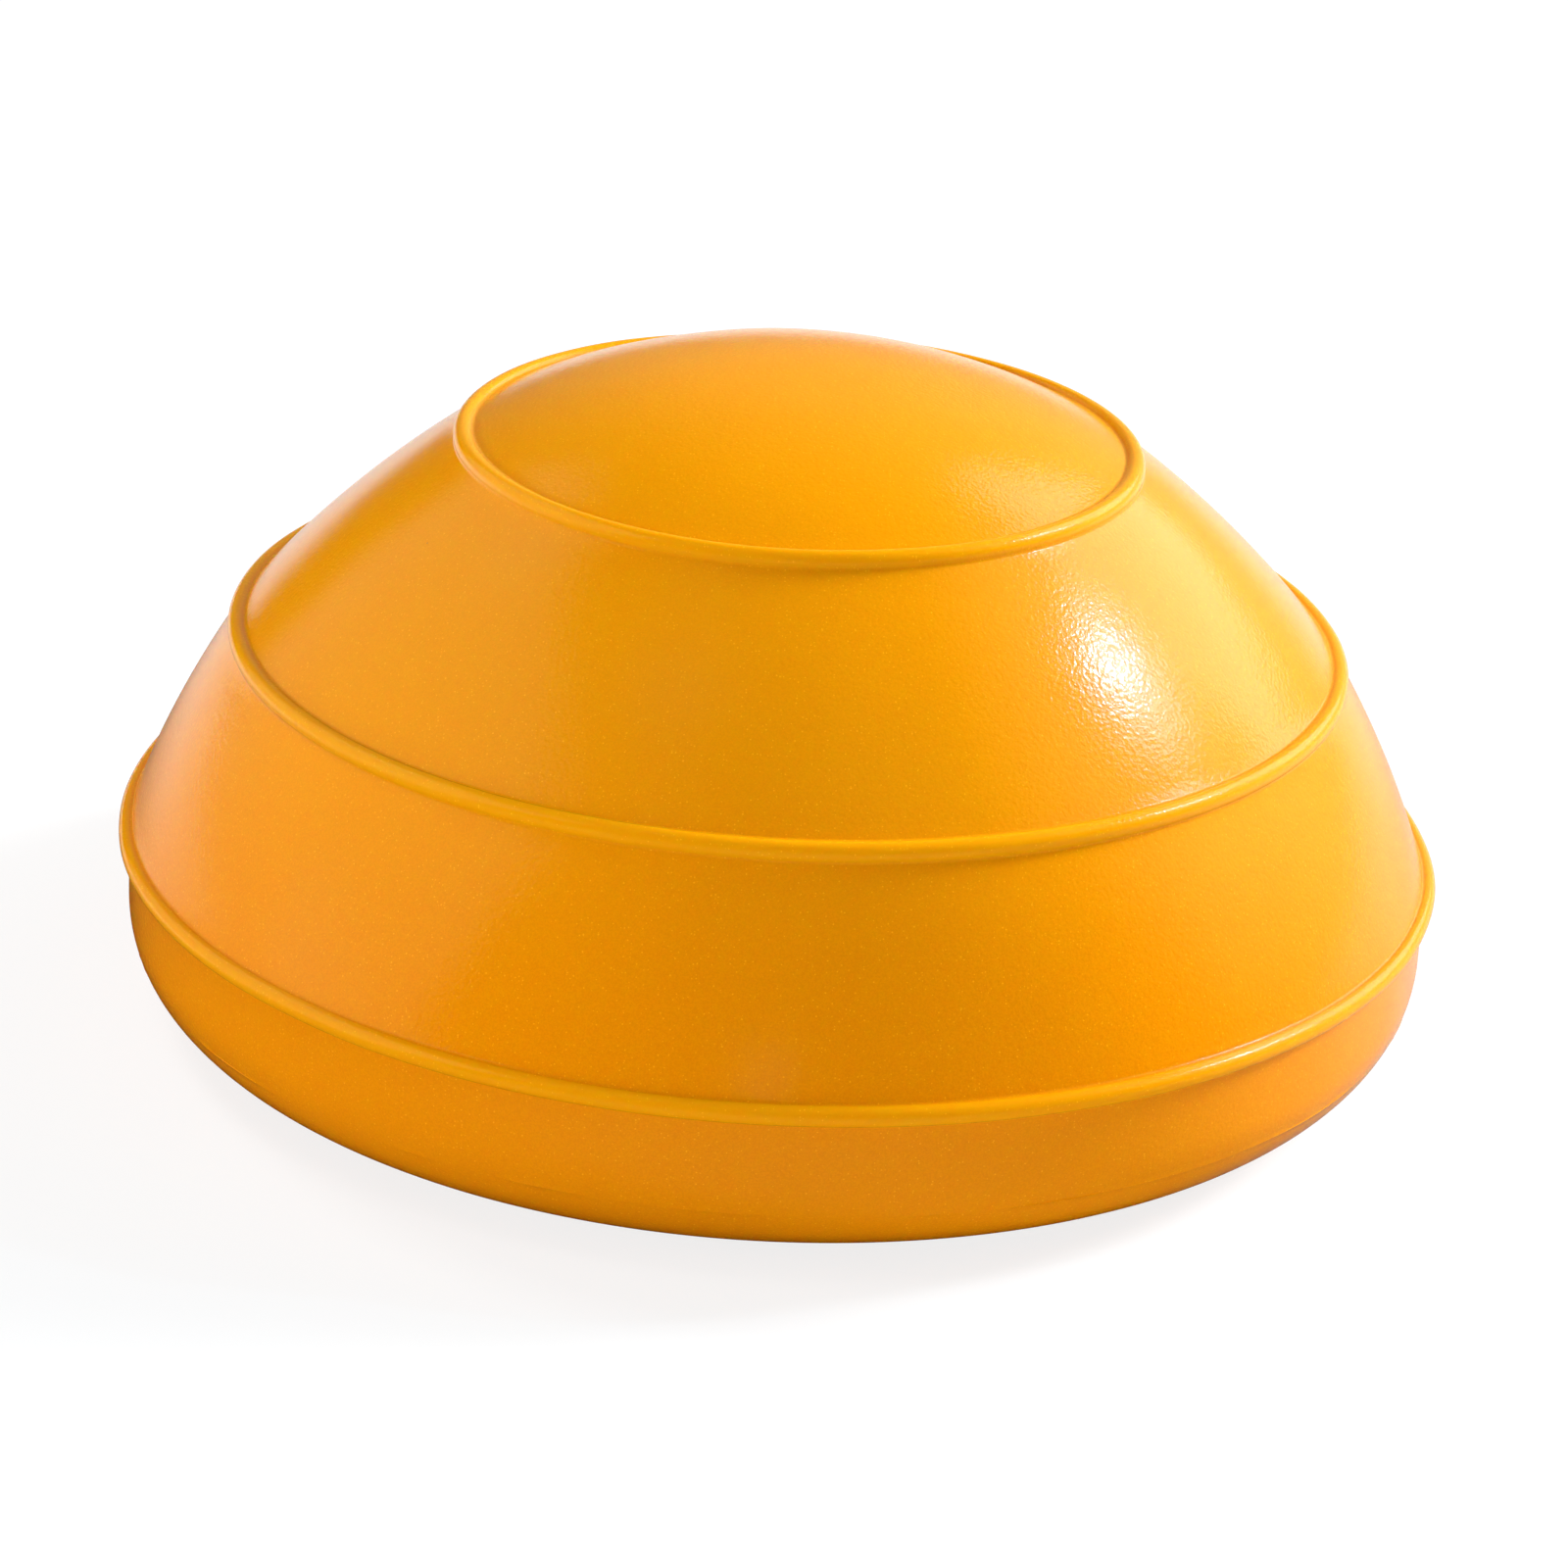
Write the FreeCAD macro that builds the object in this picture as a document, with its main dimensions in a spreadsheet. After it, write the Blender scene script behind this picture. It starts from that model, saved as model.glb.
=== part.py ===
import FreeCAD, Part
import math
import os
import Sketcher

# An air-filled balance pod: a soft moulded half ball with three raised ribs, which stands on a
# flat ring, and the needle valve that sits in a well in the middle of its underside.
# Heights are above the floor and radii are from the middle, all in millimetres.

SIZES = {
    # Outside of the skin, rib by rib from the lowest up: each rise is above the one below it,
    # and each inset is how much nearer it is to the middle
    "lower_rib_radius": 78.8,
    "lower_rib_height": 21.4,
    "middle_rib_inset": 12.9,
    "middle_rib_rise": 25.4,
    "crown_rib_inset": 26.15,
    "crown_rib_rise": 23.9,
    "crown_rise": 10.2,
    "upper_band_curve": 130.0,
    "lower_band_curve": 124.0,
    # Below the lowest rib: the round corner, how high it ends above its own radius, and the inset
    # of the foot ring
    "corner_radius": 11.5,
    "corner_lift": 1.4,
    "foot_inset": 18.3,
    "wall": 2.8,
    # Ribs moulded on the skin, half round, with a small hollow curve at each root
    "rib_radius": 1.2,
    "rib_root_radius": 0.4,
    # Underside: the flat foot ring, its grip grooves, the dish inside it and the valve well
    "foot_width": 17.5,
    "dish_slope_width": 3.0,
    "dish_height": 2.5,
    "underside_edge_radius": 1.0,
    "grip_groove_radius": 0.7,
    "grip_groove_pitch": 3.2,
    "grip_groove_margin": 3.7,
    "well_radius": 13.0,
    "well_height": 9.8,
    # Valve housing: a flange bonded under the well's ceiling and a barrel up through it
    "barrel_radius": 6.5,
    "barrel_length": 14.0,
    "barrel_chamfer": 0.6,
    "flange_radius": 10.5,
    "flange_thickness": 1.6,
    "flange_edge_radius": 0.6,
    # Valve core: a rubber plug held in the housing by one thick ring
    "core_radius": 4.5,
    "core_length": 13.0,
    "ring_radius": 5.3,
    "ring_thickness": 2.0,
    "ring_height": 7.0,
    "needle_lead_in": 0.5,
    # Stopper: a thin pin with a flat head, which closes the needle hole
    "pin_radius": 1.0,
    "pin_length": 12.0,
    "pin_tip_length": 1.2,
    "pin_tip_radius": 0.5,
    "pin_clearance": 0.05,
    "head_radius": 5.2,
    "head_thickness": 1.6,
    "head_edge_radius": 0.5,
    "head_gap": 0.2,
    "nail_notch_radius": 1.1,
    "nail_notch_depth": 0.8,
    # How near a place an edge has to be to count as the edge there
    "edge_reach": 0.05,
}

# How many of each repeated feature
GRIP_GROOVES = 4
NAIL_NOTCHES = 2

# How a sketch numbers the points of an edge, and its own two axes
START, END, CENTRE = range(1, 4)
FLOOR_LINE, MIDDLE_LINE = range(-1, -3, -1)
ORIGIN_POINT = (FLOOR_LINE, START)


class Length:
    """A length that keeps its value beside the sheet expression that it comes from."""

    def __init__(self, value, text):
        self.value = value
        self.text = text

    def __add__(self, other):
        return Length(self.value + other.value, f"({self.text} + {other.text})")

    def __sub__(self, other):
        return Length(self.value - other.value, f"({self.text} - {other.text})")

    def __mul__(self, count):
        return Length(self.value * count, f"({self.text} * {count})")


class Sizes:
    """The driving dimensions by name, each one a Length that points at its cell in the sheet."""

    def __init__(self, values):
        for name, value in values.items():
            setattr(self, name, Length(value, f"sizes.{name}"))
        self.middle_rib_radius = self.lower_rib_radius - self.middle_rib_inset
        self.crown_rib_radius = self.middle_rib_radius - self.crown_rib_inset
        self.middle_rib_height = self.lower_rib_height + self.middle_rib_rise
        self.crown_rib_height = self.middle_rib_height + self.crown_rib_rise
        self.pod_height = self.crown_rib_height + self.crown_rise
        self.side_height = self.corner_radius + self.corner_lift
        self.foot_radius = self.lower_rib_radius - self.foot_inset
        self.foot_inner_radius = self.foot_radius - self.foot_width
        self.dish_radius = self.foot_inner_radius - self.dish_slope_width


def make_sheet(doc):
    sheet = doc.addObject("Spreadsheet::Sheet", "sizes")
    for row, (name, value) in enumerate(SIZES.items(), start=1):
        sheet.set(f"A{row}", name)
        sheet.set(f"B{row}", str(value))
        sheet.setAlias(f"B{row}", name)
    doc.recompute()


def number(length):
    """A corner's coordinate: a Length, or a plain number that the solver only starts from."""
    return length.value if isinstance(length, Length) else length


def point(radius, height):
    return FreeCAD.Vector(number(radius), number(height), 0)


def base_plane(body, role):
    return next(item for item in body.Origin.OriginFeatures if item.Role == role)


def make_sketch(body, name, role):
    sketch = body.newObject("Sketcher::SketchObject", name)
    sketch.AttachmentSupport = [(base_plane(body, role), "")]
    sketch.MapMode = "FlatFace"
    return sketch


def tie(sketch, length, kind, *where):
    """Add a constraint with a size, and bind that size to the sheet."""
    index = sketch.addConstraint(Sketcher.Constraint(kind, *where, length.value))
    sketch.setExpression(f"Constraints[{index}]", length.text)


def pin_point(sketch, edge, end, radius, height):
    """Hold a point at a radius and height. Zero puts it on the axis, and a plain number frees it."""
    for kind, length, axis in (("DistanceX", radius, MIDDLE_LINE), ("DistanceY", height, FLOOR_LINE)):
        if isinstance(length, Length):
            tie(sketch, length, kind, *ORIGIN_POINT, edge, end)
        elif length == 0:
            sketch.addConstraint(Sketcher.Constraint("PointOnObject", edge, end, axis))


class Outline:
    """A closed outline, drawn corner by corner in a half section: x is the radius, y the height."""

    def __init__(self, body, name, radius, height):
        self.sketch = make_sketch(body, name, "XZ_Plane")
        self.first = (radius, height)
        self.place = (radius, height)
        self.first_end = None
        self.last_end = None

    def add_edge(self, edge, begin, finish, radius, height, smooth):
        index = self.sketch.addGeometry(edge, False)
        if self.last_end is None:
            self.first_end = (index, begin)
            pin_point(self.sketch, index, begin, *self.first)
        else:
            kind = "Tangent" if smooth else "Coincident"
            self.sketch.addConstraint(Sketcher.Constraint(kind, *self.last_end, index, begin))
        self.last_end = (index, finish)
        self.place = (radius, height)
        return index

    def line_to(self, radius, height, smooth=False):
        edge = Part.LineSegment(point(*self.place), point(radius, height))
        index = self.add_edge(edge, START, END, radius, height, smooth)
        pin_point(self.sketch, index, END, radius, height)
        return index

    def arc_to(self, radius, height, centre, smooth=False):
        """An arc about a centre, which like a plain number is only where the solver starts."""
        middle = point(*centre)
        begin = point(*self.place) - middle
        finish = point(radius, height) - middle
        angles = [math.atan2(begin.y, begin.x), math.atan2(finish.y, finish.x)]
        ends = (START, END)
        if begin.cross(finish).z < 0:
            angles.reverse()
            ends = (END, START)
        circle = Part.Circle(middle, FreeCAD.Vector(0, 0, 1), begin.Length)
        index = self.add_edge(Part.ArcOfCircle(circle, *angles), *ends, radius, height, smooth)
        pin_point(self.sketch, index, ends[1], radius, height)
        return index

    def close(self):
        edge = Part.LineSegment(point(*self.place), point(*self.first))
        index = self.add_edge(edge, START, END, *self.first, False)
        self.sketch.addConstraint(Sketcher.Constraint("Coincident", index, END, *self.first_end))
        return self.sketch


def arc_centre(start, end, curve):
    """The centre of a shallow arc that bulges away from the pod's middle between two corners."""
    begin = point(*start)
    chord = point(*end) - begin
    inward = FreeCAD.Vector(chord.y, -chord.x, 0).normalize()
    reach = math.sqrt(curve.value ** 2 - (chord.Length / 2) ** 2)
    centre = begin + chord * 0.5 + inward * reach
    return centre.x, centre.y


def moved(place, towards, distance):
    """A place moved by a distance along the straight line to another place."""
    step = (point(*towards) - point(*place)).normalize() * distance.value
    return number(place[0]) + step.x, number(place[1]) + step.y


def turn(body, name, sketch, kind="Revolution"):
    """Turn a half section about the pod's axis, as added (Revolution) or cut (Groove) material."""
    feature = body.newObject(f"PartDesign::{kind}", name)
    feature.Profile = sketch
    feature.ReferenceAxis = (sketch, ["V_Axis"])
    feature.Angle = 360
    sketch.Visibility = False
    return feature


def ring_edges(feature, places, reach):
    """Names of the round edges that pass within reach of a place given as radius and height."""
    names = []
    for index, edge in enumerate(feature.Shape.Edges, start=1):
        corner = edge.Vertexes[0].Point
        spot = FreeCAD.Vector(math.hypot(corner.x, corner.y), corner.z, 0)
        is_ring = edge.isClosed() and not edge.Degenerated
        if is_ring and any((spot - point(*place)).Length < reach.value for place in places):
            names.append(f"Edge{index}")
    return names


def soften(body, name, kind, feature, places, reach, size):
    """Round (Fillet) or bevel (Chamfer) the ring edges near some places."""
    body.Document.recompute()
    names = ring_edges(feature, places, reach)
    if not names:
        raise RuntimeError(f"{body.Label}: no edge for {name}")
    soft = body.newObject(f"PartDesign::{kind}", name)
    soft.Base = (feature, names)
    soft.setExpression("Radius" if kind == "Fillet" else "Size", size.text)
    body.Tip = soft
    return soft


def make_skin_outline(body, size):
    """The half section of the skin: down the outside, under the foot, up the well and back inside."""
    wall = size.wall
    crown = (size.crown_rib_radius, size.crown_rib_height)
    middle = (size.middle_rib_radius, size.middle_rib_height)
    lower = (size.lower_rib_radius, size.lower_rib_height)
    rise = size.crown_rise.value
    crown_curve = (size.crown_rib_radius.value ** 2 + rise ** 2) / (2 * rise)
    crown_centre = (0, size.pod_height.value - crown_curve)
    upper_centre = arc_centre(crown, middle, size.upper_band_curve)
    lower_centre = arc_centre(middle, lower, size.lower_band_curve)
    corner_centre = (size.lower_rib_radius - size.corner_radius, size.side_height)
    overhang = size.foot_inset.value - size.corner_radius.value
    lift = size.corner_lift.value
    heel_curve = (overhang ** 2 + lift * (lift + 2 * size.corner_radius.value)) / (2 * lift)
    heel_centre = (size.foot_radius, heel_curve)
    heel_joint = moved(corner_centre, heel_centre, size.corner_radius * -1)
    inner_heel_joint = moved(heel_joint, heel_centre, wall)

    pen = Outline(body, "skin_section", 0, size.pod_height)
    crown_arc = pen.arc_to(*crown, crown_centre)
    upper_arc = pen.arc_to(*middle, upper_centre)
    lower_arc = pen.arc_to(*lower, lower_centre)
    pen.line_to(size.lower_rib_radius, size.side_height)
    corner_arc = pen.arc_to(*heel_joint, corner_centre, smooth=True)
    pen.arc_to(size.foot_radius, 0, heel_centre, smooth=True)
    pen.line_to(size.foot_inner_radius, 0, smooth=True)
    pen.line_to(size.dish_radius, size.dish_height)
    pen.line_to(size.well_radius, size.dish_height)
    pen.line_to(size.well_radius, size.well_height)
    pen.line_to(size.barrel_radius, size.well_height)
    pen.line_to(size.barrel_radius, size.well_height + wall)
    pen.line_to(size.well_radius + wall, size.well_height + wall)
    pen.line_to(size.well_radius + wall, size.dish_height + wall)
    pen.line_to(size.dish_radius, size.dish_height + wall)
    pen.line_to(size.foot_inner_radius, wall)
    pen.line_to(size.foot_radius, wall)
    pen.arc_to(*inner_heel_joint, heel_centre, smooth=True)
    inner_corner_arc = pen.arc_to(size.lower_rib_radius - wall, size.side_height, corner_centre, smooth=True)
    pen.line_to(size.lower_rib_radius - wall, moved(lower, lower_centre, wall)[1])
    inner_lower_arc = pen.arc_to(*moved(middle, lower_centre, wall), lower_centre)
    inner_upper_arc = pen.arc_to(*moved(crown, upper_centre, wall), upper_centre)
    inner_crown_arc = pen.arc_to(0, size.pod_height - wall, crown_centre)
    sketch = pen.close()

    sketch.addConstraint(Sketcher.Constraint("PointOnObject", crown_arc, CENTRE, MIDDLE_LINE))
    tie(sketch, size.upper_band_curve, "Radius", upper_arc)
    tie(sketch, size.lower_band_curve, "Radius", lower_arc)
    tie(sketch, size.corner_radius, "Radius", corner_arc)
    tie(sketch, size.upper_band_curve - wall, "Radius", inner_upper_arc)
    tie(sketch, size.lower_band_curve - wall, "Radius", inner_lower_arc)
    for outer, inner in (
        (crown_arc, inner_crown_arc),
        (upper_arc, inner_upper_arc),
        (lower_arc, inner_lower_arc),
        (corner_arc, inner_corner_arc),
    ):
        sketch.addConstraint(Sketcher.Constraint("Coincident", inner, CENTRE, outer, CENTRE))
    return sketch


def make_circle_sketch(body, name, role, places, radius):
    """Circles of one radius, each with its middle at a place given as two lengths."""
    sketch = make_sketch(body, name, role)
    for place in places:
        circle = Part.Circle(point(*place), FreeCAD.Vector(0, 0, 1), radius.value)
        index = sketch.addGeometry(circle, False)
        tie(sketch, radius, "Radius", index)
        pin_point(sketch, index, CENTRE, *place)
    return sketch


def make_pod_shell(doc, size):
    """The one-piece moulded skin: hollow, with ribs on the outside and a well for the valve."""
    body = doc.addObject("PartDesign::Body", "pod_shell")
    skin = turn(body, "skin", make_skin_outline(body, size))

    dish_edges = [
        (size.foot_inner_radius, 0),
        (size.dish_radius, size.dish_height),
        (size.well_radius, size.dish_height),
        (size.well_radius, size.well_height),
    ]
    soft_underside = soften(
        body, "soft_underside", "Fillet", skin, dish_edges, size.edge_reach, size.underside_edge_radius
    )

    rib_places = [
        (size.crown_rib_radius, size.crown_rib_height),
        (size.middle_rib_radius, size.middle_rib_height),
        (size.lower_rib_radius, size.lower_rib_height),
    ]
    rib_sketch = make_circle_sketch(body, "rib_sections", "XZ_Plane", rib_places, size.rib_radius)
    ribs = turn(body, "ribs", rib_sketch)
    rib_reach = size.rib_radius + size.rib_root_radius
    soft_ribs = soften(body, "rib_roots", "Fillet", ribs, rib_places, rib_reach, size.rib_root_radius)

    groove_places = [
        (size.foot_radius - size.grip_groove_margin - size.grip_groove_pitch * count, 0)
        for count in range(GRIP_GROOVES)
    ]
    groove_sketch = make_circle_sketch(
        body, "grip_sections", "XZ_Plane", groove_places, size.grip_groove_radius
    )
    doc.recompute()
    whole = soft_ribs.Shape.Volume
    grooves = turn(body, "grip_grooves", groove_sketch, "Groove")
    doc.recompute()
    if grooves.Shape.Volume >= whole:
        raise RuntimeError("the grip grooves cut nothing")
    print(f"skin {soft_underside.Shape.Volume:.0f} mm3, with ribs and grooves {grooves.Shape.Volume:.0f} mm3")
    return body


def turned_body(doc, label, corners):
    """A body turned from one half section with straight edges between its corners."""
    body = doc.addObject("PartDesign::Body", label)
    pen = Outline(body, "section", *corners[0])
    for corner in corners[1:]:
        pen.line_to(*corner)
    return body, turn(body, "turned", pen.close())


def make_valve_housing(doc, size):
    """The soft collar that is bonded in the well: a flange below, a barrel inside the pod."""
    face_height = size.well_height - size.flange_thickness
    top_height = size.well_height + size.barrel_length
    ring_bottom = face_height + size.ring_height
    ring_top = ring_bottom + size.ring_thickness
    corners = [
        (size.core_radius, face_height),
        (size.flange_radius, face_height),
        (size.flange_radius, size.well_height),
        (size.barrel_radius, size.well_height),
        (size.barrel_radius, top_height),
        (size.core_radius, top_height),
        (size.core_radius, ring_top),
        (size.ring_radius, ring_top),
        (size.ring_radius, ring_bottom),
        (size.core_radius, ring_bottom),
    ]
    body, turned = turned_body(doc, "valve_housing", corners)
    flange_edge = [(size.flange_radius, face_height)]
    rounded = soften(
        body, "flange_edge", "Fillet", turned, flange_edge, size.edge_reach, size.flange_edge_radius
    )
    barrel_edge = [(size.barrel_radius, top_height)]
    soften(body, "barrel_edge", "Chamfer", rounded, barrel_edge, size.edge_reach, size.barrel_chamfer)
    return body


def make_valve_core(doc, size):
    """The rubber plug inside the housing, with the hole that a pump's needle goes through."""
    face_height = size.well_height - size.flange_thickness
    core_top = face_height + size.core_length
    ring_bottom = face_height + size.ring_height
    ring_top = ring_bottom + size.ring_thickness
    hole_radius = size.pin_radius + size.pin_clearance
    corners = [
        (hole_radius + size.needle_lead_in, face_height),
        (size.core_radius, face_height),
        (size.core_radius, ring_bottom),
        (size.ring_radius, ring_bottom),
        (size.ring_radius, ring_top),
        (size.core_radius, ring_top),
        (size.core_radius, core_top),
        (hole_radius, core_top),
        (hole_radius, face_height + size.needle_lead_in),
    ]
    body, _ = turned_body(doc, "valve_core", corners)
    return body


def make_valve_stopper(doc, size):
    """The pull-out pin: a flat head with two nail notches under the flange, and a tapered tip."""
    head_top = size.well_height - size.flange_thickness - size.head_gap
    head_bottom = head_top - size.head_thickness
    pin_top = head_top + size.pin_length
    corners = [
        (0, head_bottom),
        (size.head_radius, head_bottom),
        (size.head_radius, head_top),
        (size.pin_radius, head_top),
        (size.pin_radius, pin_top - size.pin_tip_length),
        (size.pin_tip_radius, pin_top),
        (0, pin_top),
    ]
    body, turned = turned_body(doc, "valve_stopper", corners)
    head_edge = [(size.head_radius, head_bottom)]
    rounded = soften(
        body, "head_edge", "Fillet", turned, head_edge, size.edge_reach, size.head_edge_radius
    )
    notch_place = [(size.head_radius + size.nail_notch_radius - size.nail_notch_depth, 0)]
    notch_sketch = make_circle_sketch(body, "notch_shape", "XY_Plane", notch_place, size.nail_notch_radius)
    doc.recompute()
    whole = rounded.Shape.Volume
    notch = body.newObject("PartDesign::Pocket", "nail_notch")
    notch.Profile = notch_sketch
    notch.Reversed = True
    notch.Type = "Length"
    notch.setExpression("Length", head_top.text)
    doc.recompute()
    if notch.Shape.Volume >= whole:
        raise RuntimeError("the nail notch cuts nothing")
    notches = body.newObject("PartDesign::PolarPattern", "nail_notches")
    notches.Originals = [notch]
    notches.Axis = (notch_sketch, ["N_Axis"])
    notches.Angle = 360
    notches.Occurrences = NAIL_NOTCHES
    body.Tip = notches
    return body


def check_model(doc, bodies):
    """Stop with a plain message if any feature failed or any piece is not one sound solid."""
    doc.recompute()
    for item in doc.Objects:
        if "Invalid" in item.State or "Error" in item.State:
            raise RuntimeError(f"{item.Label} failed: {item.State}")
    for body in bodies:
        shape = body.Shape
        if shape.isNull() or not shape.isValid() or len(shape.Solids) != 1:
            raise RuntimeError(f"{body.Label} is not one sound solid")
        box = shape.BoundBox
        print(f"{body.Label}: {shape.Volume:.1f} mm3, {box.XLength:.2f} x {box.YLength:.2f} mm, "
              f"height {box.ZMin:.2f} to {box.ZMax:.2f} mm")


def write_parts(bodies):
    os.makedirs("parts", exist_ok=True)
    for body in bodies:
        body.Shape.exportStep(f"parts/{body.Label}.step")


doc = FreeCAD.newDocument("balance_pod")
make_sheet(doc)
size = Sizes(SIZES)
bodies = [
    make_pod_shell(doc, size),
    make_valve_housing(doc, size),
    make_valve_core(doc, size),
    make_valve_stopper(doc, size),
]
check_model(doc, bodies)
write_parts(bodies)
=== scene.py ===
# %% [markdown]
# # A balance pod
# A balance pod is a hollow half ball of soft PVC, blown up with air, that a person stands on.
# This lesson dresses the imported CAD model of one: a moulded skin with three ribs, and a needle
# valve in a well underneath. The CAD model is loaded first and never moved, because every piece
# that Blender makes has to sit exactly where its solid is.

# %% Load the imported pod
import math

import bpy
from mathutils import Matrix, Vector


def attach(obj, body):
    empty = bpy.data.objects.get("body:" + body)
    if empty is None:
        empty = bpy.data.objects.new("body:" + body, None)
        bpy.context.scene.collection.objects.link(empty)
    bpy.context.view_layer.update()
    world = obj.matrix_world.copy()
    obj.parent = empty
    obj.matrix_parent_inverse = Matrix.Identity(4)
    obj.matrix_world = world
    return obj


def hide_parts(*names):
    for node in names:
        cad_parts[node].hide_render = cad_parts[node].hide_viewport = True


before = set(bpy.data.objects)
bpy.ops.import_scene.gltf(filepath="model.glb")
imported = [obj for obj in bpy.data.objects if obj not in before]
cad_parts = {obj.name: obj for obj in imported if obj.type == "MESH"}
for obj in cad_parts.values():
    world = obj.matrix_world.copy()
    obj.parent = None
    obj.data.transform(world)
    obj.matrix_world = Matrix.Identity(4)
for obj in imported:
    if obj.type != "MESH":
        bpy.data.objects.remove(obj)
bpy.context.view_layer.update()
MM = 0.001

# %% [markdown]
# ## Wiring nodes with plain sums
# Materials and Geometry Nodes are both trees of small nodes. Placing each one by hand in code is
# long-winded, so a Wire stands for one value on its way between nodes, and arithmetic on wires
# adds the Math nodes that do the sum. That keeps a formula readable as a formula.

# %% A wire that does sums
def fasten(tree, target, value):
    """Give a node's input either a wire or a fixed value."""
    if isinstance(value, Wire):
        tree.links.new(value.socket, target)
    else:
        target.default_value = value


def sum_node(tree, operation, *values):
    node = tree.nodes.new("ShaderNodeMath")
    node.operation = operation
    for target, value in zip(node.inputs, values):
        fasten(tree, target, value)
    return Wire(tree, node.outputs[0])


class Wire:
    """One number on its way between nodes."""

    def __init__(self, tree, socket):
        self.tree = tree
        self.socket = socket

    def also(self, name):
        """Another output of the node that this wire comes from."""
        return Wire(self.tree, self.socket.node.outputs[name])

    def __add__(self, other):
        return sum_node(self.tree, "ADD", self, other)

    def __radd__(self, other):
        return sum_node(self.tree, "ADD", other, self)

    def __sub__(self, other):
        return sum_node(self.tree, "SUBTRACT", self, other)

    def __rsub__(self, other):
        return sum_node(self.tree, "SUBTRACT", other, self)

    def __mul__(self, other):
        return sum_node(self.tree, "MULTIPLY", self, other)

    def __rmul__(self, other):
        return sum_node(self.tree, "MULTIPLY", other, self)

    def __truediv__(self, other):
        return sum_node(self.tree, "DIVIDE", self, other)

    def __rtruediv__(self, other):
        return sum_node(self.tree, "DIVIDE", other, self)

    def __pow__(self, other):
        return sum_node(self.tree, "POWER", self, other)

    def __gt__(self, other):
        return sum_node(self.tree, "GREATER_THAN", self, other)

    def __lt__(self, other):
        return sum_node(self.tree, "LESS_THAN", self, other)

    def fn(self, operation, *others):
        """A Math node's own function, such as SINE, MINIMUM or WRAP."""
        return sum_node(self.tree, operation, self, *others)


# %% [markdown]
# ## One way to place any other node
# Every node that isn't a sum comes from the same method: its type, then its settings, because
# some settings change which sockets a node has, and then what goes into those sockets.
# A soft step and a blend of two colours are used so often that they get names of their own.

# %% A bench to build trees on
class Bench:
    """A node tree while it is being wired."""

    def __init__(self, tree):
        self.tree = tree

    def node(self, kind, settings=None, sockets=None, out=0):
        made = self.tree.nodes.new(kind)
        for name, value in (settings or {}).items():
            setattr(made, name, value)
        for name, value in (sockets or {}).items():
            if isinstance(name, int):
                target = made.inputs[name]
            else:
                target = next(s for s in made.inputs if name in (s.name, s.identifier) and s.enabled)
            fasten(self.tree, target, value)
        shown = made.outputs[out] if isinstance(out, str) else [s for s in made.outputs if s.enabled][out]
        return Wire(self.tree, shown)

    def step(self, value, low, high):
        """Rise smoothly from 0 at low to 1 at high."""
        settings = {"interpolation_type": "SMOOTHSTEP"}
        return self.node("ShaderNodeMapRange", settings, {"Value": value, "From Min": low, "From Max": high})

    def blend(self, first, second, share):
        """Blend two colours by a share."""
        settings = {"data_type": "RGBA", "clamp_factor": True}
        sockets = {"Factor": share, "A": first, "B": second}
        return self.node("ShaderNodeMix", settings, sockets)


# %% [markdown]
# ## The moulded skin, as a half section
# The real skin is one piece, moulded round its own axis, so every straight cut through the axis
# looks the same. One half section, turned round the axis, makes all of it: the outside with its
# ribs, the foot, the well and the inside wall. These are its sizes, the same as in the CAD source.

# %% Sizes of the skin
LOWER_RIB_RADIUS, LOWER_RIB_HEIGHT = 78.8 * MM, 21.4 * MM
MIDDLE_RIB_RADIUS, MIDDLE_RIB_HEIGHT = 65.9 * MM, 46.8 * MM
CROWN_RIB_RADIUS, CROWN_RIB_HEIGHT = 39.75 * MM, 70.7 * MM
POD_HEIGHT = 80.9 * MM
UPPER_BAND_CURVE, LOWER_BAND_CURVE = 130 * MM, 124 * MM
SIDE_HEIGHT, CORNER_RADIUS = 12.9 * MM, 11.5 * MM
FOOT_RADIUS, FOOT_INNER_RADIUS = 60.5 * MM, 43 * MM
DISH_RADIUS, DISH_HEIGHT = 40 * MM, 2.5 * MM
WELL_RADIUS, WELL_HEIGHT = 13 * MM, 9.8 * MM
WALL = 2.8 * MM
RIB, RIB_ROOT = 1.2 * MM, 0.4 * MM
UNDERSIDE_ROUND = 1 * MM
GROOVE, GROOVE_PITCH, GROOVE_MARGIN, GROOVES = 0.7 * MM, 3.2 * MM, 3.7 * MM, 4
BARREL_RADIUS = 6.5 * MM
PARTING_HEIGHT, PARTING_WIDTH, PARTING_PROUD = 8.8 * MM, 0.14 * MM, 0.1 * MM

# %% [markdown]
# ## A pen for half sections
# The pen draws with straight runs and arcs, as a turner's template is drawn. It writes down a
# point every so often, closer together where a curve is tight, and notes which points lie on a
# rib or on the parting line, because these get a colour or a height of their own later.

# %% The pen
def spot(radius, height):
    return Vector((radius, height))


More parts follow.
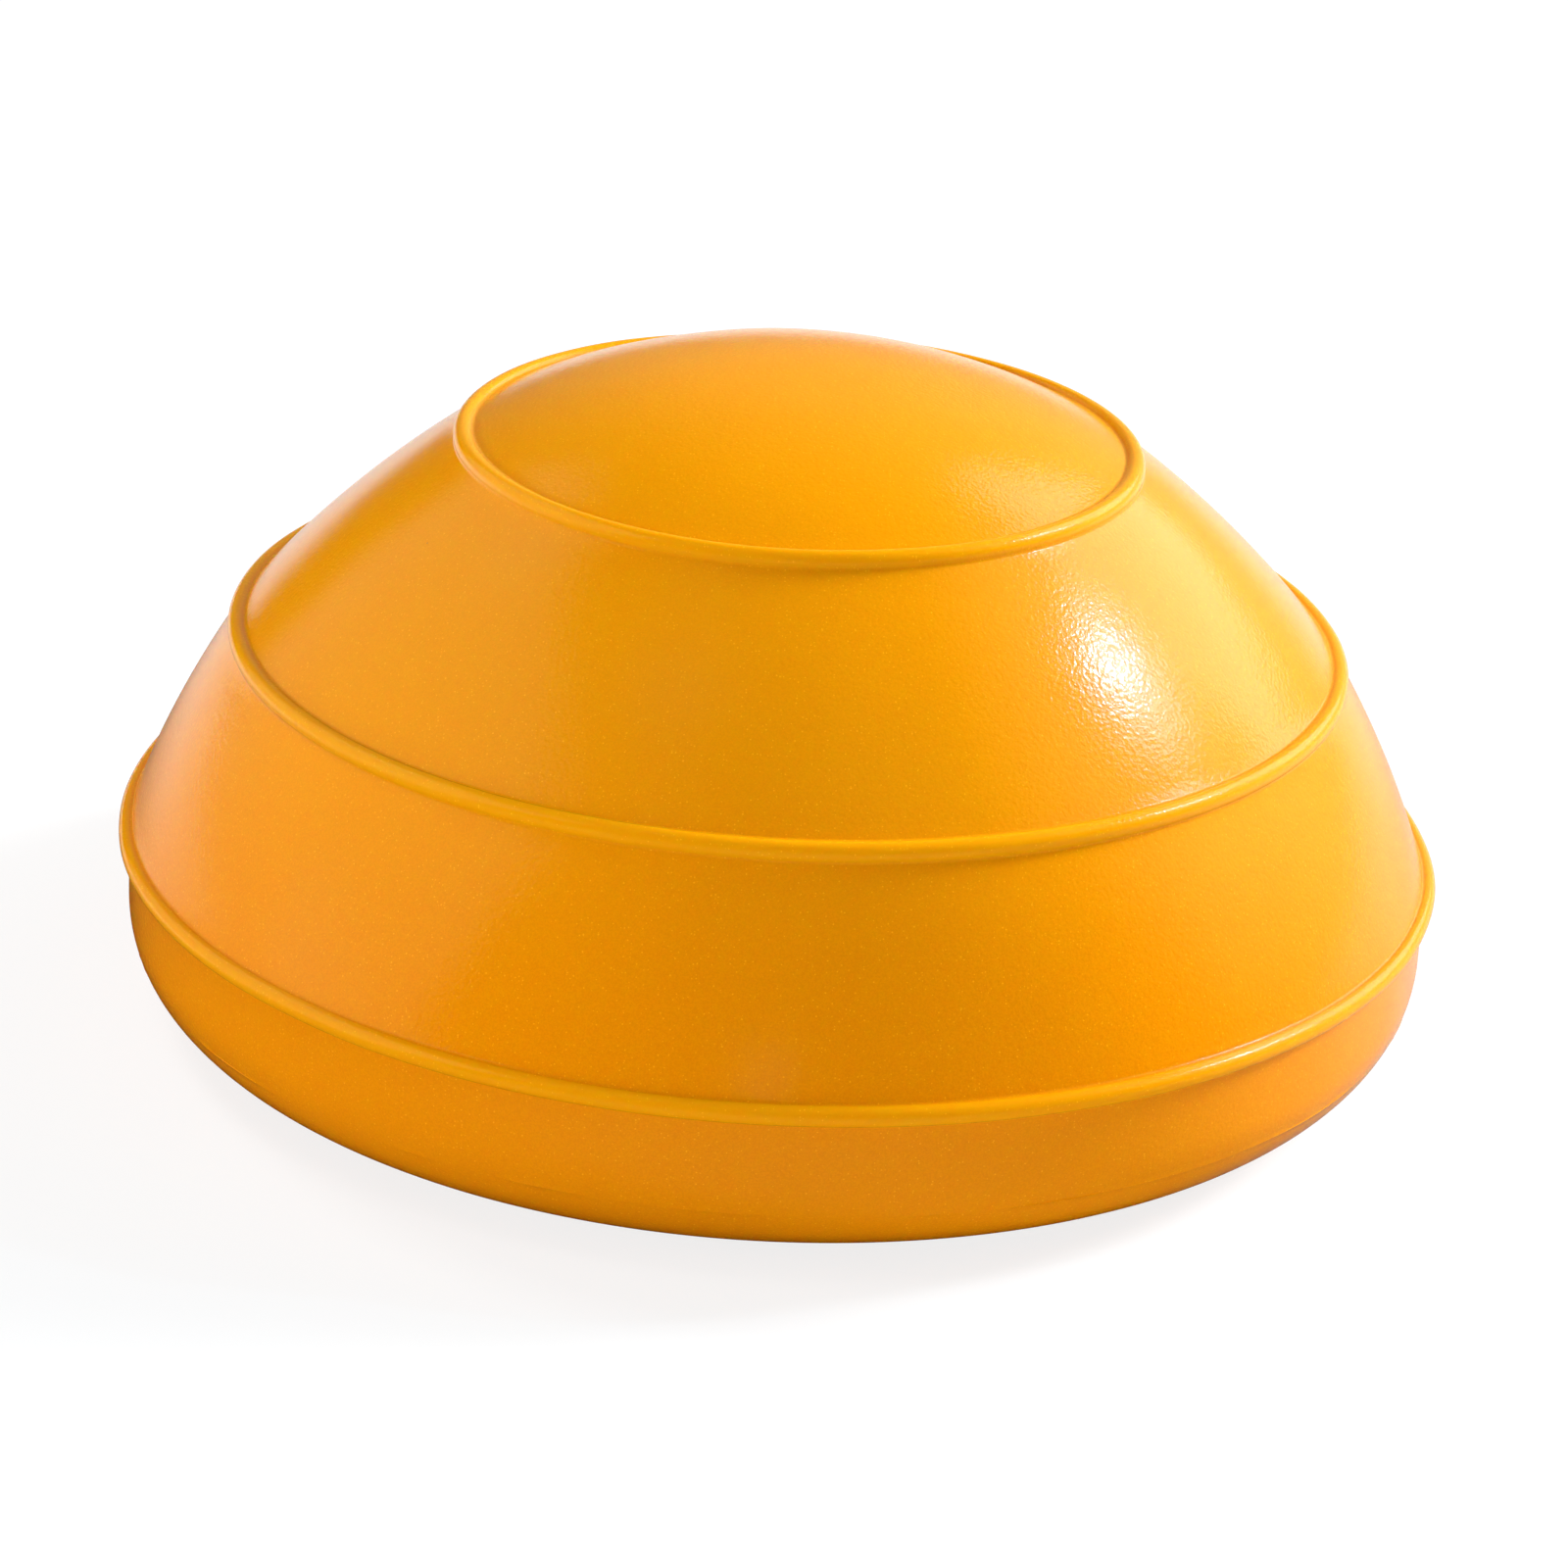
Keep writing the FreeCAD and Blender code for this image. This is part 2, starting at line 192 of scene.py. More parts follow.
class Section:
    """A half section, drawn from point to point: each point is a radius and a height."""

    def __init__(self, radius, height):
        self.points = [spot(radius, height)]
        self.marks = [""]
        self.mark = ""

    def put(self, point):
        self.points.append(point)
        self.marks.append(self.mark)

    def line_to(self, end, steps=1):
        start = self.points[-1].copy()
        for step in range(1, steps + 1):
            self.put(start.lerp(end, step / steps))

    def swing_to(self, end, centre, spacing):
        """Follow a circle about a centre, the short way round."""
        start = self.points[-1] - centre
        finish = end - centre
        sweep = math.atan2(start.cross(finish), start.dot(finish))
        steps = max(2, math.ceil(abs(sweep) * start.length / spacing))
        for step in range(1, steps + 1):
            self.put(centre + Matrix.Rotation(sweep * step / steps, 2) @ start)

    def corners(self, places, spacing=0.2 * MM):
        """Straight runs whose corners are rounded: each place is a point and how round it is."""
        for index, (corner, round_by) in enumerate(places):
            if not round_by or index + 1 == len(places):
                self.line_to(corner)
                continue
            back = (self.points[-1] - corner).normalized()
            ahead = (places[index + 1][0] - corner).normalized()
            half = back.angle(ahead) / 2
            reach = round_by / math.tan(half)
            centre = corner + (back + ahead).normalized() * (round_by / math.sin(half))
            self.line_to(corner + back * reach)
            self.swing_to(corner + ahead * reach, centre, spacing)


# %% [markdown]
# ## Ribs with soft roots
# A rib is a half-round bead, and the mould leaves a small hollow curve on each side where it
# meets the skin. That curve touches both the bead and the band beside it, so its middle lies
# where two circles cross. Drawing it, and not only a sharp joint, gives each rib the thin dark
# line that sets it off from the skin.

# %% Circles that cross, and a rib between two bands
def band_centre(start, end, curve):
    """The middle of the shallow arc that bulges outwards between two ribs."""
    chord = end - start
    inward = spot(chord.y, -chord.x).normalized()
    return (start + end) / 2 + inward * math.sqrt(curve ** 2 - (chord.length / 2) ** 2)


def crossings(centre, radius, other_centre, other_radius):
    """The two points where two circles cross."""
    across = other_centre - centre
    along = (across.length_squared + radius ** 2 - other_radius ** 2) / (2 * across.length)
    middle = centre + across.normalized() * along
    side = spot(-across.y, across.x).normalized() * math.sqrt(radius ** 2 - along ** 2)
    return middle + side, middle - side


def root_centre(rib, centre, above):
    """The middle of the hollow curve between a rib and the band that curves about centre."""
    found = crossings(centre, (rib - centre).length + RIB_ROOT, rib, RIB + RIB_ROOT)
    return max(found, key=lambda p: p.y if above else -p.y)


def touch(centre, radius, towards):
    """The point of a circle that faces another point."""
    return centre + (towards - centre).normalized() * radius


BAND_SPACING, RIB_SPACING, ROOT_SPACING = 2 * MM, 0.2 * MM, 0.12 * MM


def draw_rib(pen, rib, centre_above, centre_below):
    """Follow the band above as far as the rib, then go over the rib to the band or side below."""
    root = root_centre(rib, centre_above, above=True)
    pen.swing_to(touch(centre_above, (rib - centre_above).length, root), centre_above, BAND_SPACING)
    pen.swing_to(touch(rib, RIB, root), root, ROOT_SPACING)
    pen.mark = "rib"
    if centre_below:
        root = root_centre(rib, centre_below, above=False)
        landing = touch(centre_below, (rib - centre_below).length, root)
    else:
        root = rib + spot(RIB_ROOT, -math.sqrt((RIB + RIB_ROOT) ** 2 - RIB_ROOT ** 2))
        landing = spot(rib.x, root.y)
    pen.swing_to(touch(rib, RIB, root), rib, RIB_SPACING)
    pen.mark = ""
    pen.swing_to(landing, root, ROOT_SPACING)


# %% [markdown]
# ## Drawing the outside of the skin
# The pen starts on the axis at the crown and goes down: the cap, three ribs with two bands
# between them, the upright side, the round corner and the heel that runs into the flat foot.
# Halfway round the corner it crosses the parting line, where the two halves of the mould met
# and pressed out a hair-thin edge.

# %% The outside
crown_rib = spot(CROWN_RIB_RADIUS, CROWN_RIB_HEIGHT)
middle_rib = spot(MIDDLE_RIB_RADIUS, MIDDLE_RIB_HEIGHT)
lower_rib = spot(LOWER_RIB_RADIUS, LOWER_RIB_HEIGHT)
crown_rise = POD_HEIGHT - CROWN_RIB_HEIGHT
crown_curve = (CROWN_RIB_RADIUS ** 2 + crown_rise ** 2) / (2 * crown_rise)
crown_centre = spot(0, POD_HEIGHT - crown_curve)
upper_centre = band_centre(crown_rib, middle_rib, UPPER_BAND_CURVE)
lower_centre = band_centre(middle_rib, lower_rib, LOWER_BAND_CURVE)
corner_centre = spot(LOWER_RIB_RADIUS - CORNER_RADIUS, SIDE_HEIGHT)
overhang = corner_centre.x - FOOT_RADIUS
lift = SIDE_HEIGHT - CORNER_RADIUS
heel_curve = (overhang ** 2 + lift * (lift + 2 * CORNER_RADIUS)) / (2 * lift)
heel_centre = spot(FOOT_RADIUS, heel_curve)
heel_joint = corner_centre + (corner_centre - heel_centre).normalized() * CORNER_RADIUS
CORNER_SPACING, HEEL_SPACING = 0.8 * MM, 1.5 * MM

skin = Section(0, POD_HEIGHT)
draw_rib(skin, crown_rib, crown_centre, upper_centre)
draw_rib(skin, middle_rib, upper_centre, lower_centre)
draw_rib(skin, lower_rib, lower_centre, None)
skin.line_to(spot(LOWER_RIB_RADIUS, SIDE_HEIGHT), steps=4)


def on_corner(height):
    drop = corner_centre.y - height
    return corner_centre + spot(math.sqrt(CORNER_RADIUS ** 2 - drop ** 2), -drop)


skin.swing_to(on_corner(PARTING_HEIGHT + PARTING_WIDTH), corner_centre, CORNER_SPACING)
skin.mark = "parting"
skin.put(on_corner(PARTING_HEIGHT))
skin.mark = ""
skin.put(on_corner(PARTING_HEIGHT - PARTING_WIDTH))
skin.swing_to(heel_joint, corner_centre, CORNER_SPACING)
skin.swing_to(spot(FOOT_RADIUS, 0), heel_centre, HEEL_SPACING)
print("points on the outside of the skin:", len(skin.points))

# %% [markdown]
# ## The underside and the inside wall
# The pod stands on a flat ring with four grip grooves. Inside the ring the skin rises to a
# shallow dish, and in its middle to the well that keeps the valve off the floor. From the hole
# for the valve the pen turns back and follows the inside wall up to the axis again, so that the
# skin is a closed wall of real thickness and not a thin sheet.

# %% The underside and the inside
GROOVE_SPACING = 0.25 * MM
for count in range(GROOVES):
    middle = spot(FOOT_RADIUS - GROOVE_MARGIN - GROOVE_PITCH * count, 0)
    skin.line_to(middle + spot(GROOVE, 0))
    skin.swing_to(middle + spot(0, GROOVE), middle, GROOVE_SPACING)
    skin.swing_to(middle - spot(GROOVE, 0), middle, GROOVE_SPACING)
skin.corners([
    (spot(FOOT_INNER_RADIUS, 0), UNDERSIDE_ROUND),
    (spot(DISH_RADIUS, DISH_HEIGHT), UNDERSIDE_ROUND),
    (spot(WELL_RADIUS, DISH_HEIGHT), UNDERSIDE_ROUND),
    (spot(WELL_RADIUS, WELL_HEIGHT), UNDERSIDE_ROUND),
    (spot(BARREL_RADIUS, WELL_HEIGHT), 0),
    (spot(BARREL_RADIUS, WELL_HEIGHT + WALL), 0),
    (spot(WELL_RADIUS + WALL, WELL_HEIGHT + WALL), 0),
    (spot(WELL_RADIUS + WALL, DISH_HEIGHT + WALL), 0),
    (spot(DISH_RADIUS, DISH_HEIGHT + WALL), 0),
    (spot(FOOT_INNER_RADIUS, WALL), 0),
    (spot(FOOT_RADIUS, WALL), 0),
])
INSIDE_SPACING = 4 * MM
skin.swing_to(touch(heel_centre, heel_curve - WALL, heel_joint), heel_centre, INSIDE_SPACING)
skin.swing_to(corner_centre + spot(CORNER_RADIUS - WALL, 0), corner_centre, INSIDE_SPACING)
inner_lower, inner_upper = LOWER_BAND_CURVE - WALL, UPPER_BAND_CURVE - WALL
inner_crown = crown_curve - WALL
inside_side = LOWER_RIB_RADIUS - WALL
rise = math.sqrt(inner_lower ** 2 - (inside_side - lower_centre.x) ** 2)
skin.line_to(spot(inside_side, lower_centre.y + rise))
under_middle = crossings(lower_centre, inner_lower, upper_centre, inner_upper)
skin.swing_to(min(under_middle, key=lambda p: (p - middle_rib).length), lower_centre, INSIDE_SPACING)
under_crown = crossings(upper_centre, inner_upper, crown_centre, inner_crown)
skin.swing_to(min(under_crown, key=lambda p: (p - crown_rib).length), upper_centre, INSIDE_SPACING)
skin.swing_to(spot(0, POD_HEIGHT - WALL), crown_centre, INSIDE_SPACING)
print("points on the whole section:", len(skin.points))

# %% [markdown]
# ## The valve's sections
# The valve is three turned parts. A soft collar is bonded in the well, a rubber plug sits in it
# behind one thick ring, and a stopper's pin closes the plug's needle hole. Their sections are
# straight runs with a few rounded corners, so the same pen draws them.

# %% Sizes and sections of the valve
FLANGE_RADIUS, FLANGE_THICKNESS, FLANGE_ROUND = 10.5 * MM, 1.6 * MM, 0.6 * MM
BARREL_LENGTH, BARREL_CHAMFER = 14 * MM, 0.6 * MM
CORE_RADIUS, CORE_LENGTH = 4.5 * MM, 13 * MM
RING_RADIUS, RING_BOTTOM, RING_THICKNESS = 5.3 * MM, 7 * MM, 2 * MM
NEEDLE_LEAD_IN = 0.5 * MM
PIN_RADIUS, PIN_CLEARANCE, PIN_LENGTH = 1 * MM, 0.05 * MM, 12 * MM
PIN_TIP_LENGTH, PIN_TIP_RADIUS = 1.2 * MM, 0.5 * MM
HEAD_RADIUS, HEAD_THICKNESS, HEAD_ROUND, HEAD_GAP = 5.2 * MM, 1.6 * MM, 0.5 * MM, 0.2 * MM
NOTCHES, NOTCH_RADIUS, NOTCH_DEPTH = 2, 1.1 * MM, 0.8 * MM
FINE = 0.08 * MM

face = WELL_HEIGHT - FLANGE_THICKNESS
ring_low, ring_high = face + RING_BOTTOM, face + RING_BOTTOM + RING_THICKNESS
barrel_top, core_top = WELL_HEIGHT + BARREL_LENGTH, face + CORE_LENGTH

collar = Section(CORE_RADIUS, barrel_top)
collar.corners([
    (spot(BARREL_RADIUS - BARREL_CHAMFER, barrel_top), 0),
    (spot(BARREL_RADIUS, barrel_top - BARREL_CHAMFER), 0),
    (spot(BARREL_RADIUS, WELL_HEIGHT), 0),
    (spot(FLANGE_RADIUS, WELL_HEIGHT), 0),
    (spot(FLANGE_RADIUS, face), FLANGE_ROUND),
    (spot(CORE_RADIUS, face), 0),
    (spot(CORE_RADIUS, ring_low), 0),
    (spot(RING_RADIUS, ring_low), 0),
    (spot(RING_RADIUS, ring_high), 0),
    (spot(CORE_RADIUS, ring_high), 0),
    (spot(CORE_RADIUS, barrel_top), 0),
], FINE)

hole = PIN_RADIUS + PIN_CLEARANCE
plug = Section(hole, core_top)
plug.corners([
    (spot(CORE_RADIUS, core_top), 0),
    (spot(CORE_RADIUS, ring_high), 0),
    (spot(RING_RADIUS, ring_high), 0),
    (spot(RING_RADIUS, ring_low), 0),
    (spot(CORE_RADIUS, ring_low), 0),
    (spot(CORE_RADIUS, face), 0),
    (spot(hole + NEEDLE_LEAD_IN, face), 0),
    (spot(hole, face + NEEDLE_LEAD_IN), 0),
    (spot(hole, core_top), 0),
])

head_top = face - HEAD_GAP
head_bottom = head_top - HEAD_THICKNESS
pin_top = head_top + PIN_LENGTH
NOTCH_FLOOR = HEAD_RADIUS - NOTCH_DEPTH
stopper = Section(0, pin_top)
stopper.corners([
    (spot(PIN_TIP_RADIUS, pin_top), 0),
    (spot(PIN_RADIUS, pin_top - PIN_TIP_LENGTH), 0),
    (spot(PIN_RADIUS, head_top), 0),
])
stopper.line_to(spot(NOTCH_FLOOR, head_top))
stopper.line_to(spot(HEAD_RADIUS, head_top), steps=4)
stopper.corners([(spot(HEAD_RADIUS, head_bottom), HEAD_ROUND), (spot(NOTCH_FLOOR, head_bottom), 0)], FINE)
stopper.line_to(spot(0, head_bottom))
for title, section in (("collar", collar), ("plug", plug), ("stopper", stopper)):
    print(title, "section points:", len(section.points))

# %% [markdown]
# ## One lathe for every piece
# Turning a section is a rule, so Geometry Nodes do it. A flat grid has one column for each step
# round the axis and one row for each point of the section. Each grid point looks up its radius
# and height in the section, and its column says how far round it goes. Then the seam and the
# points on the axis are merged, which closes the skin.

# %% Inputs of the lathe
def add_input(tree, name, kind, value):
    socket = tree.interface.new_socket(name, in_out="INPUT", socket_type=kind)
    if value is not None:
        socket.default_value = value


MERGE_WITHIN, SHARP_FOLD = 0.5e-6, math.radians(34)
lathe = bpy.data.node_groups.new("lathe", "GeometryNodeTree")
lathe.interface.new_socket("Geometry", in_out="OUTPUT", socket_type="NodeSocketGeometry")
for name, kind, value in (
    ("Section", "NodeSocketGeometry", None),
    ("Steps Round", "NodeSocketInt", 240),
    ("Merge Distance", "NodeSocketFloat", MERGE_WITHIN),
    ("Sharp Angle", "NodeSocketFloat", SHARP_FOLD),
    ("Notches", "NodeSocketInt", 1),
    ("Notch Centre", "NodeSocketFloat", 1.0),
    ("Notch Radius", "NodeSocketFloat", 0.0),
    ("Parting Proud", "NodeSocketFloat", 0.0),
    ("Unevenness", "NodeSocketFloat", 0.0),
    ("Uneven Over", "NodeSocketFloat", 1.0),
    ("Uneven Above", "NodeSocketFloat", 0.0),
    ("Finish", "NodeSocketMaterial", None),
):
    add_input(lathe, name, kind, value)
bench = Bench(lathe)
given = bench.node("NodeGroupInput")
print("lathe inputs:", [item.name for item in lathe.interface.items_tree if item.in_out == "INPUT"])

# %% [markdown]
# ## Rows, columns and the notches
# The row picks a point of the section, and the column gives the turn. A stopper's head also has
# two nail notches. Each is a circle near the rim, and a point that would fall inside the circle
# is drawn in to the circle's near side, which cuts the notch without a separate cutter.

# %% Where each grid point goes
section_points = given.also("Section")
count = bench.node("GeometryNodeAttributeDomainSize", {"component": "MESH"}, {"Geometry": section_points})
grid = bench.node("GeometryNodeMeshGrid", None, {
    "Size X": 1.0, "Size Y": 1.0, "Vertices X": given.also("Steps Round") + 1, "Vertices Y": count,
})
on_grid = bench.node("ShaderNodeSeparateXYZ", None, {"Vector": bench.node("GeometryNodeInputPosition")})
turn = (on_grid.also("X") + 0.5) * math.tau
row = ((on_grid.also("Y") + 0.5) * (count - 1)).fn("ROUND")


def look_up(kind, value):
    """What the section has at this row."""
    settings = {"data_type": kind, "domain": "POINT"}
    return bench.node("GeometryNodeSampleIndex", settings, {
        "Geometry": section_points, "Value": value, "Index": row,
    })


def section_mark(name):
    """Whether this row carries a mark, as 1 or 0."""
    settings = {"data_type": "FLOAT"}
    return look_up("FLOAT", bench.node("GeometryNodeInputNamedAttribute", settings, {"Name": name}))


place = look_up("FLOAT_VECTOR", bench.node("GeometryNodeInputPosition"))
place = bench.node("ShaderNodeSeparateXYZ", None, {"Vector": place})
pitch = math.tau / given.also("Notches")
from_notch = (turn + pitch / 2).fn("FLOORED_MODULO", pitch) - pitch / 2
notch_centre, notch_radius = given.also("Notch Centre"), given.also("Notch Radius")
beside = notch_centre * from_notch.fn("SINE")
inside = notch_radius ** 2 - beside ** 2
near_side = notch_centre * from_notch.fn("COSINE") - inside.fn("MAXIMUM", 0.0).fn("SQRT")
FAR_OUT, NEXT_TO_NOTHING = 10.0, 1e-12
limit = near_side + FAR_OUT * (inside < NEXT_TO_NOTHING)
radius = place.also("X").fn("MINIMUM", limit)

# %% [markdown]
# ## Traces of the mould
# Two things keep the skin from looking drawn with a compass. The edge at the parting line is
# trimmed by hand, so it comes and goes round the pod. And a blown skin is never quite true: its
# bands sink by up to a quarter of a millimetre here and there, always inwards, so that the pod
# stays inside the size that the CAD model gives it.

# %% Parting line and unevenness
TRIM_SCALE = 7.0
STANDING, SINKING = (0.46, 0.6), (0.45, 0.8)
round_spot = bench.node("ShaderNodeCombineXYZ", None, {"X": turn.fn("COSINE"), "Y": turn.fn("SINE")})
trimming = bench.node("ShaderNodeTexNoise", None, {"Vector": round_spot, "Scale": TRIM_SCALE, "Detail": 4.0})
left_standing = bench.step(trimming, *STANDING)
radius = radius + section_mark("parting") * given.also("Parting Proud") * left_standing
turned_place = bench.node("ShaderNodeCombineXYZ", None, {
    "X": radius * turn.fn("COSINE"), "Y": radius * turn.fn("SINE"), "Z": place.also("Z"),
})
ribbed = bench.node("GeometryNodeStoreNamedAttribute", {"data_type": "FLOAT", "domain": "POINT"}, {
    "Geometry": grid, "Name": "rib", "Value": section_mark("rib"),
})
turned = bench.node("GeometryNodeSetPosition", None, {"Geometry": ribbed, "Position": turned_place})
closed = bench.node("GeometryNodeMergeByDistance", None, {
    "Geometry": turned, "Distance": given.also("Merge Distance"),
})
here = bench.node("GeometryNodeInputPosition")
height = bench.node("ShaderNodeSeparateXYZ", None, {"Vector": here}).also("Z")
above = given.also("Uneven Above")
waves = bench.node("ShaderNodeTexNoise", None, {
    "Vector": here, "Scale": 1 / given.also("Uneven Over"), "Detail": 1.0,
})
sink = bench.step(waves, *SINKING) * given.also("Unevenness") * bench.step(height, above, above * 3)
inwards = bench.node("ShaderNodeVectorMath", {"operation": "NORMALIZE"}, {"Vector": here})
inwards = bench.node("ShaderNodeVectorMath", {"operation": "SCALE"}, {"Vector": inwards, "Scale": 0 - sink})
sunk = bench.node("GeometryNodeSetPosition", None, {"Geometry": closed, "Offset": inwards})

# %% [markdown]
# ## Finishing the lathe
# The grid's faces look inwards once it is turned, so they are flipped. Curves are shaded smooth,
# but an edge where two faces meet steeply stays crisp, as on the valve. The tree ends by making
# everything real and giving it its finish.

# %% Smooth, crisp, real, finished
flipped = bench.node("GeometryNodeFlipFaces", None, {"Mesh": sunk})
fold = bench.node("GeometryNodeInputMeshEdgeAngle", out="Unsigned Angle")
smooth = bench.node("GeometryNodeSetShadeSmooth", {"domain": "FACE"}, {
    "Geometry": flipped, "Shade Smooth": True,
})
crisp = bench.node("GeometryNodeSetShadeSmooth", {"domain": "EDGE"}, {
    "Geometry": smooth, "Selection": fold > given.also("Sharp Angle"), "Shade Smooth": False,
})
real = bench.node("GeometryNodeRealizeInstances", None, {"Geometry": crisp})
finished = bench.node("GeometryNodeSetMaterial", None, {"Geometry": real, "Material": given.also("Finish")})
fasten(lathe, lathe.nodes.new("NodeGroupOutput").inputs[0], finished)
print("nodes in the lathe:", len(lathe.nodes))

# %% [markdown]
# ## Turning a piece
# The section becomes an object of points and edges, and the lathe is its modifier. When it has
# been evaluated, the result is copied to a plain mesh and the modifier goes, because the pieces
# are exported as plain meshes. The volume is printed: it is positive only if the faces point
# outwards, and it can be compared with the CAD solid's.

# %% Turn a section into a plain mesh
def turn_piece(name, section, settings):
    outline = bpy.data.meshes.new(name)
    runs = [(index, index + 1) for index in range(len(section.points) - 1)]
    outline.from_pydata([(p.x, 0, p.y) for p in section.points], runs, [])
    for mark in ("rib", "parting"):
        attribute = outline.attributes.new(mark, "FLOAT", "POINT")
        attribute.data.foreach_set("value", [float(m == mark) for m in section.marks])
    piece = bpy.data.objects.new(name, outline)
    bpy.context.scene.collection.objects.link(piece)
    modifier = piece.modifiers.new("lathe", "NODES")
    modifier.node_group = lathe
    for item in lathe.interface.items_tree:
        if item.in_out == "INPUT" and item.name in settings:
            modifier[item.identifier] = settings[item.name]
    graph = bpy.context.evaluated_depsgraph_get()
    plain = bpy.data.meshes.new_from_object(
        piece.evaluated_get(graph), preserve_all_data_layers=True, depsgraph=graph
    )
    piece.modifiers.clear()
    piece.data = plain
    plain.name = name
    measure(piece)
    return piece


def measure(piece):
    """Print how large a piece is, and whether its skin is closed and faces outwards."""
    mesh = piece.data
    mesh.calc_loop_triangles()
    corners = [[mesh.vertices[i].co for i in triangle.vertices] for triangle in mesh.loop_triangles]
    volume = sum(a.dot(b.cross(c)) for a, b, c in corners) / 6
    uses = {}
    for polygon in mesh.polygons:
        for edge in polygon.edge_keys:
            uses[edge] = uses.get(edge, 0) + 1
    loose = sum(1 for times in uses.values() if times != 2)
    heights = [vertex.co.z / MM for vertex in mesh.vertices]
    print(f"{piece.name}: {len(corners)} triangles, {volume / MM ** 3:.1f} mm3, "
          f"height {min(heights):.2f} to {max(heights):.2f} mm, open edges {loose}")


# %% [markdown]
# ## A material to start from
# Every finish below starts from the same shader for solids, set up with the numbers that are the
# same all over. What changes over the surface is wired in afterwards.

# %% Start a material
def start_material(name, even):
    material = bpy.data.materials.new(name)
    material.use_nodes = True
    shader = material.node_tree.nodes["Principled BSDF"]
    for socket, value in even.items():
        shader.inputs[socket].default_value = value
    return material, Bench(material.node_tree), shader


def vary(bench, shader, changing):
    """Wire what changes over the surface into the shader."""
    for socket, value in changing.items():
        fasten(bench.tree, shader.inputs[socket], value)


def patches(bench, where, size, detail=2.0, roughness=0.5):
    """Soft random patches about as large as size, from 0 to 1."""
    sockets = {"Vector": where, "Scale": 1 / size, "Detail": detail, "Roughness": roughness}
    return bench.node("ShaderNodeTexNoise", None, sockets)


def grains(bench, where, pitch, radius, share):
    """Small round grains: a given share of cells one pitch wide holds a grain of that radius."""
    cell = bench.node("ShaderNodeTexVoronoi", {"feature": "F1"}, {"Vector": where, "Scale": 1 / pitch})
    draw = bench.node("ShaderNodeSeparateColor", None, {"Color": cell.also("Color")})
    size = radius / pitch * (0.5 + 0.5 * draw.also("Green"))
    return (1 - bench.step(cell.also("Distance"), size * 0.6, size)) * (draw.also("Red") < share)


# %% [markdown]
# ## The orange skin
# The skin is soft PVC, coloured right through. Light goes a little way into it, red farthest, so
# the shade under a rib stays a warm orange and never turns grey. From close by it shows fine
# flecks, a few dark specks and yellow specks, partly pearl pigment and partly painted glints. The
# ribs get a painted yellower glow for light going in from both sides, and low down painted shade
# makes the colour deeper, where less light comes back.

# %% Colours and grain of the skin
SKIN_DEEP = (0.72, 0.263, 0.0006, 1)
SKIN_LIGHT = (0.755, 0.29, 0.0012, 1)
# The next three colours carry painted light: shade low down, a glow on the ribs, and glints among pearl
# specks.
SKIN_LOW_SHADE = (0.72, 0.222, 0.0006, 1)
RIB_PAINTED_GLOW = (0.76, 0.33, 0.001, 1)
PEARL_AND_GLINT = (1.0, 0.5, 0.02, 1)
PEARL_AND_GLINT_PITCH, SPECK_PITCH, GRAIN = 0.4 * MM, 7 * MM, 0.13 * MM
FLECK, FLECK_COLOUR = 0.22 * MM, (0.88, 0.33, 0.001, 1)
DARK_SPECK = (0.12, 0.045, 0.01, 1)
FOOT_DUST = (0.62, 0.36, 0.16, 1)
PEEL, FINE_PEEL = 0.52 * MM, 0.25 * MM
PEEL_DEPTH = 0.05 * MM

LOW_FROM, LOW_TO, LOW_WANDER = 22 * MM, 58 * MM, 8 * MM

skin_finish, bench, shader = start_material("orange_pvc_skin", {
    "IOR": 1.42,
    "Subsurface Weight": 0.5,
    "Subsurface Radius": (1.0, 0.35, 0.08),
    "Subsurface Scale": 1.5 * MM,
})
where = bench.node("ShaderNodeTexCoord", out="Object")
rib_mark = bench.node("ShaderNodeAttribute", {"attribute_name": "rib"}, out="Fac")
height = bench.node("ShaderNodeSeparateXYZ", None, {"Vector": where}).also("Z")
clouding = patches(bench, where, 26 * MM, detail=3.0)
colour = bench.blend(SKIN_DEEP, SKIN_LIGHT, clouding)
# Painted shade: low down the skin's colour is made deeper and redder, for less light coming back there.
painted_low_shade = 1 - bench.step(height + LOW_WANDER * (clouding - 0.5), LOW_FROM, LOW_TO)
colour = bench.blend(colour, SKIN_LOW_SHADE, painted_low_shade * 0.8)
flecks = bench.step(patches(bench, where, FLECK, detail=1.0), 0.3, 0.7)
colour = bench.blend(colour, FLECK_COLOUR, flecks * 0.35)
# Painted glow: the ribs are painted yellower, for light that goes into them from both sides.
colour = bench.blend(colour, RIB_PAINTED_GLOW, rib_mark * 0.7)
# Small yellow specks: partly pearl pigment and partly painted glints of light.
pearls_and_glints = grains(bench, where, PEARL_AND_GLINT_PITCH, GRAIN, 0.35)
colour = bench.blend(colour, PEARL_AND_GLINT, pearls_and_glints * 0.5)
specks = grains(bench, where, SPECK_PITCH, GRAIN, 0.3)
colour = bench.blend(colour, DARK_SPECK, specks * 0.8)

# %% [markdown]
# ## Gloss, peel and a little wear
# Roughness wanders with the moulding and rises where the pod is scuffed or stands on the floor.
# The mould's grain leaves an orange peel: waves half a millimetre long and a few hundredths
# deep. That is too small to model, but enough to break the highlight into sparks.

